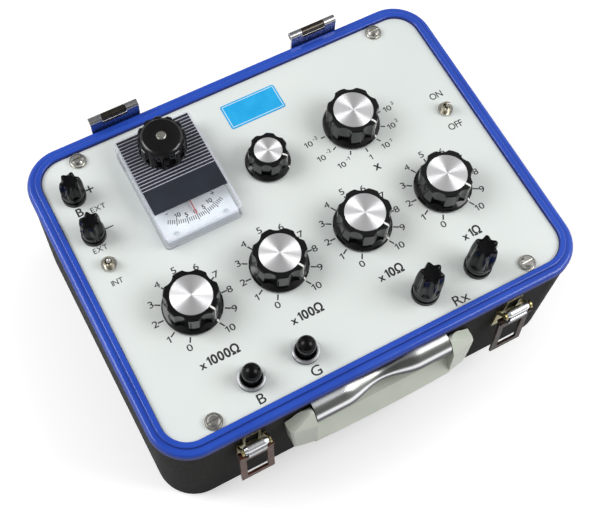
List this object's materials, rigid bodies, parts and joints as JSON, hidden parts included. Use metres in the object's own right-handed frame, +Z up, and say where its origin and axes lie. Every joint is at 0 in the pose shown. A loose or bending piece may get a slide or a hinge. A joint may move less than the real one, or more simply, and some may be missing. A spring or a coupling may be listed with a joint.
{
  "type": "portable wheatstone bridge",
  "caption": "Portable resistance bridge: steel case with blue rim, decade dials, galvanometer, push buttons, toggle switches, binding posts, latches and a swinging carry handle.",
  "frame": {"origin": "centre of the case's flat base", "axes": "+Z up out of the panel, +X to the right along the front, -Y towards the handle and latches, +Y towards the hinges"},
  "size_m": [0.277, 0.2297, 0.1226],
  "materials": {
    "case_paint": "satin",
    "rim_paint": "gloss",
    "panel_paint": "satin",
    "steel": "satin",
    "chrome": "polished",
    "zinc": "passivated",
    "brown_steel": "oxidised",
    "cream": "semi-gloss",
    "black": "gloss",
    "aluminium": "spun",
    "clear": "clear moulding",
    "mask": "ribbed",
    "scale": "printed",
    "needle": "painted",
    "housing": "moulded",
    "brass": "plain",
    "phenolic": "laminate",
    "cells": "sleeved"
  },
  "bodies": {
    "case": {"case_shell": "case_paint", "rim": "rim_paint", "front_panel": "panel_paint", "panel_screws": "steel", "hinge_leaves": "chrome", "hinge_pins": "steel", "latch_bases": "zinc", "handle_strap": "chrome", "handle_pins": "steel", "decade_switches": "phenolic", "multiplier_switch": "phenolic", "sensitivity_pot": "phenolic", "panel_nuts": "steel", "meter_housing": "housing", "meter_scale": "scale", "meter_cover": "clear", "meter_mask": "mask", "toggle_bodies": "brass", "post_bases": "black", "post_studs": "brass", "button_collars": "chrome", "button_spring_b": "steel", "button_spring_g": "steel", "battery_holder": "phenolic", "batteries": "cells", "resistor_board": "phenolic"},
    "dial_1000": {"knob_1000": "black", "cap_1000": "aluminium", "shaft_1000": "steel"},
    "dial_100": {"knob_100": "black", "cap_100": "aluminium", "shaft_100": "steel"},
    "dial_10": {"knob_10": "black", "cap_10": "aluminium", "shaft_10": "steel"},
    "dial_1": {"knob_1": "black", "cap_1": "aluminium", "shaft_1": "steel"},
    "dial_multiplier": {"knob_multiplier": "black", "cap_multiplier": "aluminium", "shaft_multiplier": "steel"},
    "dial_sensitivity": {"knob_sensitivity": "black", "cap_sensitivity": "aluminium", "shaft_sensitivity": "steel"},
    "zero_adjuster": {"zero_knob": "black", "zero_spindle": "steel"},
    "needle": {"meter_needle": "needle"},
    "toggle_left": {"toggle_lever_left": "steel"},
    "toggle_right": {"toggle_lever_right": "steel"},
    "post_plus": {"post_cap_plus": "black"},
    "post_minus": {"post_cap_minus": "black"},
    "post_rx_left": {"post_cap_rx_left": "black"},
    "post_rx_right": {"post_cap_rx_right": "black"},
    "button_b": {"button_cap_b": "black"},
    "button_g": {"button_cap_g": "black"},
    "handle": {"handle_grip": "cream"},
    "latch_left_lever": {"latch_lever_left": "chrome"},
    "latch_left_loop": {"latch_loop_left": "brown_steel"},
    "latch_right_lever": {"latch_lever_right": "chrome"},
    "latch_right_loop": {"latch_loop_right": "brown_steel"}
  },
  "joints": [
    {"name": "dial_1000_turn", "type": "hinge", "parent": "case", "child": "dial_1000", "pos_m": [-0.0833, -0.025, 0.093], "axis": [0, 0, 1], "range_deg": [0, 300]},
    {"name": "dial_100_turn", "type": "hinge", "parent": "case", "child": "dial_100", "pos_m": [-0.0273, -0.025, 0.093], "axis": [0, 0, 1], "range_deg": [0, 300]},
    {"name": "dial_10_turn", "type": "hinge", "parent": "case", "child": "dial_10", "pos_m": [0.0287, -0.025, 0.093], "axis": [0, 0, 1], "range_deg": [0, 300]},
    {"name": "dial_1_turn", "type": "hinge", "parent": "case", "child": "dial_1", "pos_m": [0.0847, -0.025, 0.093], "axis": [0, 0, 1], "range_deg": [0, 300]},
    {"name": "dial_multiplier_turn", "type": "hinge", "parent": "case", "child": "dial_multiplier", "pos_m": [0.0567, 0.0382, 0.093], "axis": [0, 0, 1], "range_deg": [-120, 60]},
    {"name": "dial_sensitivity_turn", "type": "hinge", "parent": "case", "child": "dial_sensitivity", "pos_m": [-0.0015, 0.0382, 0.093], "axis": [0, 0, 1], "range_deg": [0, 270]},
    {"name": "zero_turn", "type": "hinge", "parent": "case", "child": "zero_adjuster", "pos_m": [-0.0561, 0.0687, 0.108], "axis": [0, 0, 1], "range_deg": [-60, 60]},
    {"name": "needle_swing", "type": "hinge", "parent": "case", "child": "needle", "pos_m": [-0.0561, 0.0595, 0.1], "axis": [0, 0, 1], "range_deg": [-30, 30], "stiffness_Nm_per_rad": 0.0001},
    {"name": "toggle_left_swing", "type": "hinge", "parent": "case", "child": "toggle_left", "pos_m": [-0.1146, 0.0206, 0.0956], "axis": [-1, 0, 0], "range_deg": [0, 24]},
    {"name": "toggle_right_swing", "type": "hinge", "parent": "case", "child": "toggle_right", "pos_m": [0.1146, 0.0206, 0.0956], "axis": [-1, 0, 0], "range_deg": [0, 24]},
    {"name": "post_plus_lift", "type": "slide", "parent": "case", "child": "post_plus", "axis": [0, 0, 1], "range_m": [0, 0.0045]},
    {"name": "post_minus_lift", "type": "slide", "parent": "case", "child": "post_minus", "axis": [0, 0, 1], "range_m": [0, 0.0045]},
    {"name": "post_rx_left_lift", "type": "slide", "parent": "case", "child": "post_rx_left", "axis": [0, 0, 1], "range_m": [0, 0.0045]},
    {"name": "post_rx_right_lift", "type": "slide", "parent": "case", "child": "post_rx_right", "axis": [0, 0, 1], "range_m": [0, 0.0045]},
    {"name": "button_b_press", "type": "slide", "parent": "case", "child": "button_b", "axis": [0, 0, -1], "range_m": [0, 0.003], "stiffness_N_per_m": 300, "springref_m": -0.002, "deforming": ["button_spring_b"]},
    {"name": "button_g_press", "type": "slide", "parent": "case", "child": "button_g", "axis": [0, 0, -1], "range_m": [0, 0.003], "stiffness_N_per_m": 300, "springref_m": -0.002, "deforming": ["button_spring_g"]},
    {"name": "handle_swing", "type": "hinge", "parent": "case", "child": "handle", "pos_m": [-0.0049, -0.1095, 0.0795], "axis": [-1, 0, 0], "range_deg": [0, 90]},
    {"name": "latch_left_lever_swing", "type": "hinge", "parent": "case", "child": "latch_left_lever", "pos_m": [-0.087, -0.1105, 0.08], "axis": [-1, 0, 0], "range_deg": [0, 120]},
    {"name": "latch_left_loop_swing", "type": "hinge", "parent": "latch_left_lever", "child": "latch_left_loop", "pos_m": [-0.087, -0.1105, 0.072], "axis": [-1, 0, 0], "range_deg": [0, 100]},
    {"name": "latch_right_lever_swing", "type": "hinge", "parent": "case", "child": "latch_right_lever", "pos_m": [0.087, -0.1105, 0.08], "axis": [-1, 0, 0], "range_deg": [0, 120]},
    {"name": "latch_right_loop_swing", "type": "hinge", "parent": "latch_right_lever", "child": "latch_right_loop", "pos_m": [0.087, -0.1105, 0.072], "axis": [-1, 0, 0], "range_deg": [0, 100]}
  ]
}
